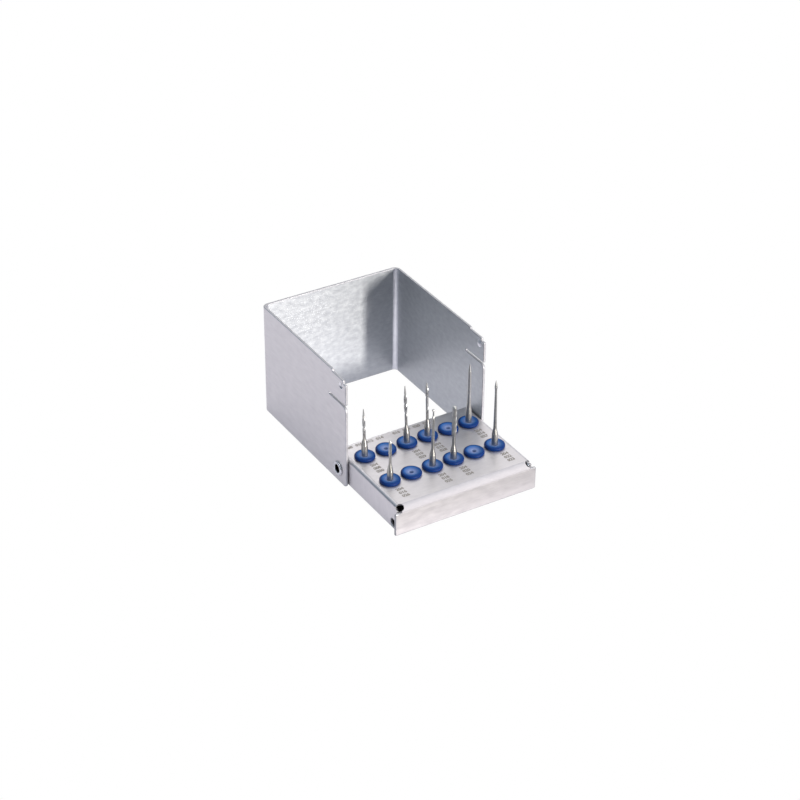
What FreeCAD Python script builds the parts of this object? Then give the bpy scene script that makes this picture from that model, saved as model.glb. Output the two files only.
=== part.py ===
"""Hinged steel bur block with twelve silicone sockets and eight burs.

A low tray carries two rows of silicone grommets. A U-shaped cover is hinged to the
tray's side flanges by two hollow rivets. The cover stands open behind the tray here,
and swings forward through a right angle to close over the burs.

Millimetres, +Z up, +Y from the tray's front lip to the cover's back wall. The origin
is on the surface the block stands on, under the middle of its length and width.
"""
import FreeCAD, Part
import math
import os
from dataclasses import dataclass

from FreeCAD import Vector

# Cover: one sheet folded into a U, open at the top, the bottom and the front.
SHEET = 1.0
COVER_WIDTH = 60.0
COVER_DEPTH = 63.6
COVER_HEIGHT = 46.2
COVER_BEND = 2.5

# Spring tongue at the top front of each side wall, above a slit.
SLIT_DROP = 11.1
SLIT_LENGTH = 12.2
SLIT_WIDTH = 0.9
MOUTH_ROUNDING = 2.0
STEP_LENGTH = 9.6
STEP_DEPTH = 0.9
NOTCH_LENGTH = 1.8
NOTCH_DEPTH = 1.2
FOOT_ROUNDING = 1.5
SMALL_ROUNDING = 0.3

# Dimple pressed inwards in each tongue, which snaps into a hole in the tray.
DIMPLE_DROP = 3.7
DIMPLE_BACK = 3.2
DIMPLE_RADIUS = 1.5
DIMPLE_PIT = 0.6
DIMPLE_RISE = 0.5
LATCH_HOLE_RADIUS = 1.65

# Hinge: the axis is as high above the feet as it is behind the cover's front edge,
# so the cover stands flush on both its bottom edge and its front edge.
HINGE_OFFSET = 5.6
RIVET_BORE = 1.6
RIVET_BARREL = 2.1
RIVET_HEAD = 2.85
RIVET_HEAD_THICKNESS = 0.6
RIVET_ROLL = 0.45
RIVET_CLINCH = 2.6
RIVET_CLINCH_THICKNESS = 0.5
RUNNING_CLEARANCE = 0.06
HEAD_CLEARANCE = 0.08

# Tray: one sheet folded down on three sides, its front lip as wide as the cover.
TRAY_TOP = 11.6
TRAY_BACK = 9.3
WALL_GAP = 0.2
SIDE_BEND = 1.5
FRONT_BEND = 2.4
FLANGE_LIFT = 0.9
LIP_SETBACK = 0.2
EAR_TOP = 9.2
EAR_GAP = 0.3
EAR_ROUNDING = 0.5
RELIEF_RADIUS = 1.45

# Sockets: two rows of six.
SOCKET_COUNT = 6
SOCKET_PITCH = 9.0
BACK_ROW = 0.9
ROW_SPACING = 17.9
PLATE_HOLE = 3.0

# Grommet section.
HEAD_RADIUS = 3.95
HEAD_FOOT_RADIUS = 3.7
HEAD_HEIGHT = 1.75
HEAD_ROUNDING = 0.7
CREST_RADIUS = 3.1
DISH_RADIUS = 2.25
DISH_DEPTH = 0.55
COLLAR_RADIUS = 3.5
COLLAR_DEPTH = 1.7
LEAD_RADIUS = 2.6
FREE_BORE = 0.8

# Bur shanks, with a latch groove and a drive flat at the hidden lower end.
SHANK_RADIUS = 1.175
SHANK_END = 1.3
SHANK_CHAMFER = 0.2
GROOVE_HEIGHT = 2.2
GROOVE_WIDTH = 1.1
GROOVE_RADIUS = 0.8
FLAT_HEIGHT = 4.6
FLAT_DISTANCE = 0.65

# The soft sockets let some burs lean, all of them towards the back left. The bearing is
# in degrees round from +X.
LEAN_BEARING = 148.5

# Derived places.
LIP_REACH = COVER_HEIGHT - 2 * HINGE_OFFSET + LIP_SETBACK
LENGTH = COVER_DEPTH + LIP_REACH
LIP_FRONT = -LENGTH / 2
COVER_FRONT = LIP_FRONT + LIP_REACH
COVER_BACK = LENGTH / 2
HALF_WIDTH = COVER_WIDTH / 2
WALL_INSIDE = HALF_WIDTH - SHEET
FLANGE_OUTSIDE = WALL_INSIDE - WALL_GAP
FLANGE_INSIDE = FLANGE_OUTSIDE - SHEET
HINGE_Y = COVER_FRONT + HINGE_OFFSET
HINGE_Z = HINGE_OFFSET
PLATE_HALF = FLANGE_OUTSIDE - SIDE_BEND
SIDES = {"left": -1, "right": 1}
ROW_Y = {"back": COVER_FRONT - BACK_ROW, "front": COVER_FRONT - BACK_ROW - ROW_SPACING}


@dataclass(frozen=True)
class Flutes:
    """Helical grooves of round section, cut along a cone about the bur's axis.

    The lead is the length of one full turn, low the height at which the grooves run
    out, path the distance of their middle line from the axis there, and taper the
    cone's half angle in degrees, negative where the head narrows to its tip.
    """

    count: int
    lead: float
    low: float
    path: float
    groove: float
    taper: float = 0.0


@dataclass(frozen=True)
class Bur:
    """One bur: its socket, the heights and radii of its outline, its flutes and its lean.

    The head is a list of (height, radius, corner rounding) from the neck to the tip. The
    lean is the angle in degrees between the bur and the vertical.
    """

    row: str
    column: int
    shoulder: float
    cone_top: float
    neck: float
    head: tuple
    flutes: Flutes = None
    lean: float = 0.0


TWIST = 8.0
BURS = (
    Bur("back", 1, 17.0, 20.0, 0.54,
        ((28.9, 0.56, 0.5), (29.8, 0.36, 0.5), (32.5, 0.14, 0.0)),
        Flutes(2, TWIST, 21.4, 0.62, 0.36), 1.4),
    Bur("back", 3, 16.6, 19.8, 0.50,
        ((25.6, 0.50, 1.0), (27.4, 0.62, 1.0), (31.0, 0.60, 1.0), (33.9, 0.36, 1.0), (36.6, 0.14, 0.0)),
        Flutes(2, TWIST, 21.6, 0.64, 0.37), 2.2),
    Bur("back", 4, 16.4, 19.5, 0.52,
        ((28.6, 0.52, 1.0), (30.0, 0.62, 1.0), (32.6, 0.56, 1.0), (35.3, 0.14, 0.0)),
        Flutes(2, TWIST, 21.6, 0.64, 0.37), 1.5),
    Bur("back", 6, 16.4, 20.4, 0.74,
        ((34.4, 0.62, 0.0), (34.9, 0.55, 0.0), (37.6, 0.12, 0.0)),
        Flutes(6, 14.0, 34.7, 0.62, 0.12, -9.0)),
    Bur("front", 1, 15.8, 19.2, 0.52,
        ((22.9, 0.48, 0.0), (23.5, 0.62, 0.4), (28.2, 0.50, 0.5), (29.1, 0.20, 0.0)),
        Flutes(6, 14.0, 23.0, 0.69, 0.16, -1.4)),
    Bur("front", 3, 16.8, 19.6, 0.58,
        ((32.6, 0.56, 0.8), (33.6, 0.30, 0.8), (35.5, 0.27, 0.0))),
    Bur("front", 4, 15.8, 18.4, 0.64,
        ((22.0, 0.62, 0.0), (22.5, 0.88, 0.3), (34.9, 0.84, 0.7)),
        Flutes(6, 16.0, 22.2, 1.0, 0.24)),
    Bur("front", 6, 16.9, 19.6, 0.66,
        ((36.2, 0.42, 0.3), (37.2, 0.60, 0.5), (40.0, 0.12, 0.0)),
        Flutes(6, 12.0, 36.2, 0.70, 0.16, -8.0), 0.5),
)

# Ball at the tip of the round bur, with grooves along its meridians.
BALL_RADIUS = 0.54
BALL_CENTRE = 35.96
BALL_GROOVES = 6
BALL_GROOVE_RADIUS = 0.15
BALL_GROOVE_PATH = 0.6
BALL_GROOVE_SPAN = 116.0


def corner_edges(points, closed):
    """Joins (u, v, rounding) points by straight runs and tangent arcs in the XY plane."""
    count = len(points)
    starts, ends, arcs = [], [], []
    for i, (u, v, rounding) in enumerate(points):
        here = Vector(u, v, 0)
        if rounding <= 0 or (not closed and i in (0, count - 1)):
            starts.append(here)
            ends.append(here)
            arcs.append(None)
            continue
        before = (Vector(*points[i - 1][:2], 0) - here).normalize()
        after = (Vector(*points[(i + 1) % count][:2], 0) - here).normalize()
        half_angle = before.getAngle(after) / 2
        setback = rounding / math.tan(half_angle)
        towards_centre = (before + after).normalize()
        middle = here + towards_centre * (rounding / math.sin(half_angle) - rounding)
        starts.append(here + before * setback)
        ends.append(here + after * setback)
        arcs.append(Part.Arc(starts[i], middle, ends[i]).toShape())
    edges = []
    for i in range(count):
        if arcs[i] is not None:
            edges.append(arcs[i])
        following = (i + 1) % count
        if following == 0 and not closed:
            break
        if (starts[following] - ends[i]).Length > 1e-6:
            edges.append(Part.makeLine(ends[i], starts[following]))
    return edges


def outline_face(points):
    """Makes a flat face in the XY plane from (u, v, rounding) corners."""
    return Part.Face(Part.Wire(corner_edges(points, closed=True)))


def folded_section(outer, inner, bend):
    """Makes the face of a folded sheet from its outer and inner corner points."""
    outer_edges = corner_edges([(u, v, bend) for u, v in outer], closed=False)
    inner_edges = corner_edges([(u, v, bend - SHEET) for u, v in inner], closed=False)
    first = Part.makeLine(Vector(*outer[0], 0), Vector(*inner[0], 0))
    last = Part.makeLine(Vector(*outer[-1], 0), Vector(*inner[-1], 0))
    edges = Part.sortEdges(outer_edges + inner_edges + [first, last])[0]
    return Part.Face(Part.Wire(edges))


def stand_yz(face, x_from, x_to):
    """Extrudes a (y, z) face along X between two places."""
    solid = face.extrude(Vector(0, 0, x_to - x_from))
    axes = FreeCAD.Rotation(Vector(0, 1, 0), Vector(0, 0, 1), Vector(1, 0, 0), "XYZ")
    solid.Placement = FreeCAD.Placement(Vector(x_from, 0, 0), axes)
    return solid


def stand_xz(face, y_from, y_to):
    """Extrudes an (x, z) face along Y between two places."""
    solid = face.extrude(Vector(0, 0, y_to - y_from))
    upright = FreeCAD.Rotation(Vector(1, 0, 0), 90)
    solid.Placement = FreeCAD.Placement(Vector(0, y_to, 0), upright)
    return solid


def drill_x(y, z, radius, x_from, x_to):
    """Makes a cylinder along X."""
    return Part.makeCylinder(radius, x_to - x_from, Vector(x_from, y, z), Vector(1, 0, 0))


def turned(points):
    """Revolves an (r, z, rounding) outline, closed along the axis, about Z."""
    face = outline_face(points)
    face.rotate(Vector(0, 0, 0), Vector(1, 0, 0), 90)
    return face.revolve(Vector(0, 0, 0), Vector(0, 0, 1), 360)


def turned_on_hinge(points, side):
    """Revolves an (r, distance outwards, rounding) outline about the hinge axis."""
    solid = turned(points)
    outwards = FreeCAD.Rotation(Vector(0, 0, 1), Vector(side, 0, 0))
    solid.Placement = FreeCAD.Placement(Vector(0, HINGE_Y, HINGE_Z), outwards)
    return solid


def side_wall_outline():
    """Outline of the cover seen from the side, with both tongues' slits and steps."""
    slit_low = COVER_HEIGHT - SLIT_DROP - SLIT_WIDTH / 2
    slit_high = slit_low + SLIT_WIDTH
    slit_end = COVER_FRONT + SLIT_LENGTH
    slit_rounding = 0.49 * SLIT_WIDTH
    tongue_top = COVER_HEIGHT - STEP_DEPTH
    corner = tongue_top - NOTCH_DEPTH
    beyond = COVER_BACK + SHEET
    return outline_face([
        (COVER_FRONT, 0, FOOT_ROUNDING),
        (COVER_FRONT, slit_low, MOUTH_ROUNDING),
        (slit_end, slit_low, slit_rounding),
        (slit_end, slit_high, slit_rounding),
        (COVER_FRONT, slit_high, SMALL_ROUNDING),
        (COVER_FRONT, corner, SMALL_ROUNDING),
        (COVER_FRONT + NOTCH_LENGTH, corner, SMALL_ROUNDING),
        (COVER_FRONT + NOTCH_LENGTH, tongue_top, SMALL_ROUNDING),
        (COVER_FRONT + STEP_LENGTH, tongue_top, SMALL_ROUNDING),
        (COVER_FRONT + STEP_LENGTH, COVER_HEIGHT, SMALL_ROUNDING),
        (beyond, COVER_HEIGHT, 0),
        (beyond, 0, 0),
    ])


def cap_centre(face_distance, cap_radius, cap_height):
    """Radius of the sphere, and how far its centre is from the cap's base plane."""
    sphere = (cap_radius ** 2 + cap_height ** 2) / (2 * cap_height)
    return sphere, face_distance + sphere - cap_height


def make_cover():
    """Folded U with spring tongues, dimples and hinge holes."""
    plan_outer = [(-HALF_WIDTH, COVER_FRONT), (-HALF_WIDTH, COVER_BACK),
                  (HALF_WIDTH, COVER_BACK), (HALF_WIDTH, COVER_FRONT)]
    plan_inner = [(-WALL_INSIDE, COVER_FRONT), (-WALL_INSIDE, COVER_BACK - SHEET),
                  (WALL_INSIDE, COVER_BACK - SHEET), (WALL_INSIDE, COVER_FRONT)]
    folded = folded_section(plan_outer, plan_inner, COVER_BEND).extrude(Vector(0, 0, COVER_HEIGHT))
    cover = folded.common(stand_yz(side_wall_outline(), -HALF_WIDTH - SHEET, HALF_WIDTH + SHEET))

    dimple_y = COVER_FRONT + DIMPLE_BACK
    dimple_z = COVER_HEIGHT - DIMPLE_DROP
    reach = 2 * DIMPLE_RADIUS
    rise_radius, rise_centre = cap_centre(WALL_INSIDE, DIMPLE_RADIUS, DIMPLE_RISE)
    pit_radius, pit_centre = cap_centre(HALF_WIDTH, DIMPLE_RADIUS, DIMPLE_PIT)
    for side in SIDES.values():
        slab = Part.makeBox(SHEET, 2 * reach, 2 * reach,
                            Vector(side * WALL_INSIDE - SHEET / 2, dimple_y - reach, dimple_z - reach))
        rise = Part.makeSphere(rise_radius, Vector(side * rise_centre, dimple_y, dimple_z))
        pit = Part.makeSphere(pit_radius, Vector(side * pit_centre, dimple_y, dimple_z))
        cover = cover.fuse(rise.common(slab)).cut(pit)
        hole_from = side * HALF_WIDTH - SHEET * 1.5
        cover = cover.cut(drill_x(HINGE_Y, HINGE_Z, RIVET_BARREL + RUNNING_CLEARANCE,
                                  hole_from, hole_from + 3 * SHEET))
    return cover.removeSplitter()


def make_tray():
    """Folded tray: channel, front lip with ears, socket holes, latch and hinge holes."""
    bend_start = LIP_FRONT + FRONT_BEND
    tray_back = COVER_FRONT + TRAY_BACK
    under = TRAY_TOP - SHEET
    channel_outer = [(-FLANGE_OUTSIDE, FLANGE_LIFT), (-FLANGE_OUTSIDE, TRAY_TOP),
                     (FLANGE_OUTSIDE, TRAY_TOP), (FLANGE_OUTSIDE, FLANGE_LIFT)]
    channel_inner = [(-FLANGE_INSIDE, FLANGE_LIFT), (-FLANGE_INSIDE, under),
                     (FLANGE_INSIDE, under), (FLANGE_INSIDE, FLANGE_LIFT)]
    channel = folded_section(channel_outer, channel_inner, SIDE_BEND)
    tray = stand_xz(channel, bend_start, tray_back)

    front_outer = [(bend_start + SHEET, TRAY_TOP), (LIP_FRONT, TRAY_TOP), (LIP_FRONT, 0)]
    front_inner = [(bend_start + SHEET, under), (LIP_FRONT + SHEET, under), (LIP_FRONT + SHEET, 0)]
    front = folded_section(front_outer, front_inner, FRONT_BEND)
    tray = tray.fuse(stand_yz(front, -PLATE_HALF, PLATE_HALF))

    ears = outline_face([
        (-HALF_WIDTH, 0, EAR_ROUNDING), (HALF_WIDTH, 0, EAR_ROUNDING),
        (HALF_WIDTH, EAR_TOP, EAR_ROUNDING), (-HALF_WIDTH, EAR_TOP, EAR_ROUNDING),
    ])
    tray = tray.fuse(stand_xz(ears, LIP_FRONT, LIP_FRONT + SHEET))

    flange_front = LIP_FRONT + SHEET + EAR_GAP
    flange_top = TRAY_TOP - SIDE_BEND
    relief_y = LIP_FRONT + RELIEF_RADIUS
    for side in SIDES.values():
        flange_x = min(side * FLANGE_INSIDE, side * FLANGE_OUTSIDE)
        flange = Part.makeBox(SHEET, bend_start - flange_front, flange_top - FLANGE_LIFT,
                              Vector(flange_x, flange_front, FLANGE_LIFT))
        relief = Part.makeSphere(RELIEF_RADIUS, Vector(side * PLATE_HALF, relief_y, under))
        tray = tray.fuse(flange).cut(relief)
        drill_from = flange_x - SHEET
        drill_to = flange_x + 2 * SHEET
        latch_y = LIP_FRONT + LIP_SETBACK + DIMPLE_DROP
        tray = tray.cut(drill_x(latch_y, DIMPLE_BACK, LATCH_HOLE_RADIUS, drill_from, drill_to))
        tray = tray.cut(drill_x(HINGE_Y, HINGE_Z, RIVET_BARREL, drill_from, drill_to))
    for row_y in ROW_Y.values():
        for column in range(1, SOCKET_COUNT + 1):
            place = Vector(socket_x(column), row_y, under - SHEET)
            tray = tray.cut(Part.makeCylinder(PLATE_HOLE, 3 * SHEET, place))
    return tray.removeSplitter()


def make_rivet(side):
    """Hollow rivet: rolled head outside the cover, barrel, and clinch inside the tray."""
    head_in = HALF_WIDTH + HEAD_CLEARANCE
    head_out = head_in + RIVET_HEAD_THICKNESS
    clinch_out = FLANGE_INSIDE
    clinch_in = clinch_out - RIVET_CLINCH_THICKNESS
    return turned_on_hinge([
        (RIVET_BORE, clinch_in, 0),
        (RIVET_CLINCH, clinch_in, 0),
        (RIVET_CLINCH, clinch_out, 0),
        (RIVET_BARREL, clinch_out, 0),
        (RIVET_BARREL, head_in, 0),
        (RIVET_HEAD, head_in, 0),
        (RIVET_HEAD, head_out, RIVET_ROLL),
        (RIVET_BORE, head_out, RIVET_ROLL),
    ], side)


def turned_grommet():
    """Silicone grommet at rest: dished head, groove for the plate, and tapered collar below."""
    dish = HEAD_HEIGHT - DISH_DEPTH
    foot = -SHEET - COLLAR_DEPTH
    return turned([
        (FREE_BORE, dish, 0),
        (DISH_RADIUS, HEAD_HEIGHT - DISH_DEPTH / 3, 0),
        (CREST_RADIUS, HEAD_HEIGHT, 0),
        (HEAD_RADIUS, HEAD_HEIGHT / 2, HEAD_ROUNDING),
        (HEAD_FOOT_RADIUS, 0, 0),
        (PLATE_HOLE, 0, 0),
        (PLATE_HOLE, -SHEET, 0),
        (COLLAR_RADIUS, -SHEET, 0),
        (LEAD_RADIUS, foot, 0),
        (FREE_BORE, foot, 0),
    ])


def make_grommet(row, column, bur=None):
    """Grommet in its socket, with its bore stretched to the shank of the bur that it holds."""
    grommet = turned_grommet()
    grommet.translate(Vector(socket_x(column), ROW_Y[row], TRAY_TOP))
    if bur is None:
        return grommet
    shank = Part.makeCylinder(SHANK_RADIUS, TRAY_TOP + 2 * HEAD_HEIGHT)
    return grommet.cut(set_in_socket(shank, bur))


def helical_groove(flutes, top, turn):
    """Makes the cutter of one flute: a round section swept along its helix."""
    path = Part.makeHelix(flutes.lead, top - flutes.low, flutes.path, flutes.taper)
    start = Vector(flutes.path, 0, 0)
    along = Vector(0, flutes.path, flutes.lead / (2 * math.pi))
    section = Part.Wire(Part.Circle(start, along, flutes.groove).toShape())
    cutter = Part.Wire(path).makePipeShell([section], True, True)
    cutter = cutter.fuse(Part.makeSphere(flutes.groove, start))
    cutter.rotate(Vector(0, 0, 0), Vector(0, 0, 1), turn)
    cutter.translate(Vector(0, 0, flutes.low))
    return cutter


def ball_groove(turn):
    """Makes the cutter of one groove of the ball: a stretch of ring along a meridian."""
    ring = Part.makeTorus(BALL_GROOVE_PATH, BALL_GROOVE_RADIUS, Vector(0, 0, 0), Vector(0, 0, 1),
                          0, 360, BALL_GROOVE_SPAN)
    ring.rotate(Vector(0, 0, 0), Vector(0, 0, 1), -BALL_GROOVE_SPAN / 2)
    ring.rotate(Vector(0, 0, 0), Vector(1, 0, 0), 90)
    ring.rotate(Vector(0, 0, 0), Vector(0, 0, 1), turn)
    ring.translate(Vector(0, 0, BALL_CENTRE))
    return ring


def make_bur(bur):
    """Bur: latch shank, shoulder cone, neck and head turned as one piece, then fluted."""
    body = turned([
        (0, SHANK_END, 0),
        (SHANK_RADIUS - SHANK_CHAMFER, SHANK_END, 0),
        (SHANK_RADIUS, SHANK_END + SHANK_CHAMFER, 0),
        (SHANK_RADIUS, bur.shoulder, 0.8),
        (bur.neck, bur.cone_top, 1.2),
    ] + [(radius, height, rounding) for height, radius, rounding in bur.head]
      + [(0, bur.head[-1][0], 0)])
    if bur.flutes:
        top = bur.head[-1][0] + bur.flutes.groove
        for index in range(bur.flutes.count):
            body = body.cut(helical_groove(bur.flutes, top, 360 * index / bur.flutes.count))
    else:
        body = body.fuse(Part.makeSphere(BALL_RADIUS, Vector(0, 0, BALL_CENTRE)))
        for index in range(BALL_GROOVES):
            body = body.cut(ball_groove(360 * index / BALL_GROOVES))
    groove_z = SHANK_END + GROOVE_HEIGHT
    ring = Part.makeCylinder(2 * SHANK_RADIUS, GROOVE_WIDTH, Vector(0, 0, groove_z))
    core = Part.makeCylinder(GROOVE_RADIUS, GROOVE_WIDTH, Vector(0, 0, groove_z))
    flat_size = 4 * SHANK_RADIUS
    flat = Part.makeBox(flat_size, flat_size, FLAT_HEIGHT,
                        Vector(FLAT_DISTANCE, -flat_size / 2, SHANK_END - SHANK_CHAMFER))
    body = body.cut(ring.cut(core)).cut(flat)
    return set_in_socket(body, bur)


def socket_x(column):
    """Place across the tray of a column of sockets, counted from the left."""
    return (column - (SOCKET_COUNT + 1) / 2) * SOCKET_PITCH


def set_in_socket(shape, bur):
    """Moves a shape from the Z axis to the bur's socket, leaning about the plate's top face."""
    bearing = math.radians(LEAN_BEARING)
    across = Vector(-math.sin(bearing), math.cos(bearing), 0)
    shape.rotate(Vector(0, 0, TRAY_TOP), across, bur.lean)
    shape.translate(Vector(socket_x(bur.column), ROW_Y[bur.row], 0))
    return shape


def save(shape, node):
    """Writes one piece and reports its volume."""
    shape.exportStep("parts/" + node + ".step")
    print(node, shape.ShapeType, len(shape.Solids), "solid", round(shape.Volume, 2), "mm3",
          "valid" if shape.isValid() else "NOT VALID")


def main():
    """Builds every piece and writes it to its own file."""
    os.makedirs("parts", exist_ok=True)
    save(make_cover(), "cover")
    save(make_tray(), "tray")
    for name, side in SIDES.items():
        save(make_rivet(side), "hinge_rivet_" + name)
    held = {(bur.row, bur.column): bur for bur in BURS}
    for row in ROW_Y:
        for column in range(1, SOCKET_COUNT + 1):
            save(make_grommet(row, column, held.get((row, column))), "grommet_" + row + "_" + str(column))
    for bur in BURS:
        save(make_bur(bur), "bur_" + bur.row + "_" + str(bur.column))


main()
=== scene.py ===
"""Looks of the steel bur block: brushed cover and tray, blue silicone sockets, ground burs.

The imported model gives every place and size. This script dresses its nodes, replaces the
folded sheets and the soft grommets by finished copies, and sets the studio and the camera.
"""

import logging
import math
from dataclasses import dataclass, field
from enum import Enum
from typing import Any

import bmesh
import bpy
from mathutils import Matrix, Vector


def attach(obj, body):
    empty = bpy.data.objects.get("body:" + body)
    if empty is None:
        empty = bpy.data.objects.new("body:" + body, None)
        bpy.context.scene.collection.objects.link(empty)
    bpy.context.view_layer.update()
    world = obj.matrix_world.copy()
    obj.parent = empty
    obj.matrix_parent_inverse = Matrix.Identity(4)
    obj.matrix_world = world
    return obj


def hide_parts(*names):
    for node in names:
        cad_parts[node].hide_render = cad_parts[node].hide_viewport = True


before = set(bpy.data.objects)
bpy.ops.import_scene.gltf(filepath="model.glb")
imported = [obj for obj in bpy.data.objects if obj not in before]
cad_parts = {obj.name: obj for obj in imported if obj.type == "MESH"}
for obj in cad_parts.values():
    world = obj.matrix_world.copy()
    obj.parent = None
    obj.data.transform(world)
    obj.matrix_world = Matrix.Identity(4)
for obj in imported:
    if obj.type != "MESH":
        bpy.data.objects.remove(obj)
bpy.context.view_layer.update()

LOG = logging.getLogger("bur_block")
MM = 0.001

Point = tuple[float, float]
Place = tuple[float, float, float]
Colour = tuple[float, float, float, float]


def linear(hex_colour: str) -> Colour:
    """Turns an sRGB hex colour into linear light.

    Args:
        hex_colour: Six hex digits after a number sign.

    Returns:
        Red, green, blue and an alpha of one.
    """
    parts = [int(hex_colour[i:i + 2], 16) / 255 for i in (1, 3, 5)]
    light = [c / 12.92 if c <= 0.04045 else ((c + 0.055) / 1.055) ** 2.4 for c in parts]
    return (light[0], light[1], light[2], 1.0)


def add_node(tree: bpy.types.NodeTree, kind: str, settings: dict[str, Any] | None = None,
             links: dict[Any, Any] | None = None) -> bpy.types.Node:
    """Adds a node with its settings and links.

    Args:
        tree: The node tree that gets the node.
        kind: The node's type name.
        settings: Values by property name, or by input name or number where the node has no such property.
        links: Output sockets by the input name or number that each one feeds.

    Returns:
        The new node.
    """
    node = tree.nodes.new(kind)
    for name, value in (settings or {}).items():
        if isinstance(name, str) and hasattr(node, name):
            setattr(node, name, value)
        else:
            node.inputs[name].default_value = value
    for name, output in (links or {}).items():
        tree.links.new(output, node.inputs[name])
    return node


def grey_steps(tree: bpy.types.NodeTree, factor: bpy.types.NodeSocket,
               stops: list[tuple[float, Colour]]) -> bpy.types.NodeSocket:
    """Adds a colour ramp.

    Args:
        tree: The node tree that gets the ramp.
        factor: What the ramp reads.
        stops: Place and colour of each stop, in rising order.

    Returns:
        The ramp's colour output.
    """
    ramp = add_node(tree, "ShaderNodeValToRGB", links={"Fac": factor})
    elements = ramp.color_ramp.elements
    while len(elements) < len(stops):
        elements.new(0.5)
    for element, (place, colour) in zip(elements, stops):
        element.position = place
        element.color = colour
    return ramp.outputs["Color"]


def blank_material(name: str) -> tuple[bpy.types.Material, bpy.types.Node]:
    """Makes a material with one shader linked to its output.

    Args:
        name: The material's name.

    Returns:
        The material and its shader node.
    """
    material = bpy.data.materials.new(name)
    material.use_nodes = True
    tree = material.node_tree
    tree.nodes.clear()
    shader = add_node(tree, "ShaderNodeBsdfPrincipled")
    add_node(tree, "ShaderNodeOutputMaterial", links={"Surface": shader.outputs["BSDF"]})
    return material, shader


@dataclass(frozen=True)
class BrushedSteel:
    """Cold-rolled stainless sheet, belt-brushed in one direction.

    The grain keeps reflections sharp along it and smears them across it. The real lines
    are about 0.05 mm apart, finer than a pixel, so they are drawn 0.45 mm apart. Over
    them lies the uneven pressure of the belt, in soft patches of about 2 mm.
    """

    name: str
    light: str = "#D3D0D1"
    dark: str = "#C2BFC1"
    roughness: float = 0.45
    unevenness: float = 0.03
    anisotropy: float = 0.4
    line_spacing: float = 0.45
    line_length: float = 6.0
    patch_size: float = 2.2
    patch_stretch: float = 2.0
    patch_share: float = 0.45
    line_depth: float = 0.003

    def material(self) -> bpy.types.Material:
        """Builds the brushed finish on the sheet's own grain map.

        Returns:
            The material.
        """
        material, shader = blank_material(self.name)
        tree = material.node_tree
        grain = add_node(tree, "ShaderNodeUVMap", {"uv_map": "grain"}).outputs["UV"]
        along = 1 / (self.line_length * MM)
        across = 1 / (self.line_spacing * MM)
        strokes = add_node(tree, "ShaderNodeMapping", {"Scale": (along, across, 1)}, {"Vector": grain})
        lines = add_node(tree, "ShaderNodeTexNoise", {"Scale": 1.0, "Detail": 3.0, "Roughness": 0.6},
                         {"Vector": strokes.outputs["Vector"]})
        patch = 1 / (self.patch_size * MM)
        spread = add_node(tree, "ShaderNodeMapping", {"Scale": (patch / self.patch_stretch, patch, 1)},
                          {"Vector": grain})
        patches = add_node(tree, "ShaderNodeTexNoise", {"Scale": 1.0, "Detail": 2.0},
                           {"Vector": spread.outputs["Vector"]})
        both = add_node(tree, "ShaderNodeMix", {"data_type": "FLOAT", "Factor": self.patch_share},
                        {"A": lines.outputs["Fac"], "B": patches.outputs["Fac"]})
        colour = grey_steps(tree, both.outputs["Result"], [(0.3, linear(self.dark)), (0.7, linear(self.light))])
        gloss = add_node(tree, "ShaderNodeMapRange",
                         {"From Min": 0.3, "From Max": 0.7, "To Min": self.roughness - self.unevenness,
                          "To Max": self.roughness + self.unevenness}, {"Value": both.outputs["Result"]})
        bump = add_node(tree, "ShaderNodeBump", {"Strength": 0.6, "Distance": self.line_depth * MM},
                        {"Height": lines.outputs["Fac"]})
        tangent = add_node(tree, "ShaderNodeTangent", {"direction_type": "UV_MAP", "uv_map": "grain"})
        tree.links.new(colour, shader.inputs["Base Color"])
        tree.links.new(gloss.outputs["Result"], shader.inputs["Roughness"])
        tree.links.new(bump.outputs["Normal"], shader.inputs["Normal"])
        tree.links.new(tangent.outputs["Tangent"], shader.inputs["Tangent"])
        shader.inputs["Metallic"].default_value = 1.0
        shader.inputs["Anisotropic"].default_value = self.anisotropy
        shader.inputs["Anisotropic Rotation"].default_value = 0.25
        return material


@dataclass(frozen=True)
class DeburredEdge:
    """Sheared sheet edge, deburred and polished: brighter and smoother than the face beside it."""

    name: str = "deburred_steel_edge"
    light: str = "#BBBABD"
    dark: str = "#AAA9AD"
    roughness: float = 0.6
    nick_size: float = 1.6

    def material(self) -> bpy.types.Material:
        """Builds the edge finish, with small nicks along it.

        Returns:
            The material.
        """
        material, shader = blank_material(self.name)
        tree = material.node_tree
        place = add_node(tree, "ShaderNodeTexCoord").outputs["Object"]
        nicks = add_node(tree, "ShaderNodeTexNoise", {"Scale": 1 / (self.nick_size * MM), "Detail": 2.0},
                         {"Vector": place})
        colour = grey_steps(tree, nicks.outputs["Fac"], [(0.3, linear(self.dark)), (0.7, linear(self.light))])
        gloss = add_node(tree, "ShaderNodeMapRange", {"To Min": self.roughness, "To Max": self.roughness + 0.06},
                         {"Value": nicks.outputs["Fac"]})
        tree.links.new(colour, shader.inputs["Base Color"])
        tree.links.new(gloss.outputs["Result"], shader.inputs["Roughness"])
        shader.inputs["Metallic"].default_value = 1.0
        return material


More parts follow.
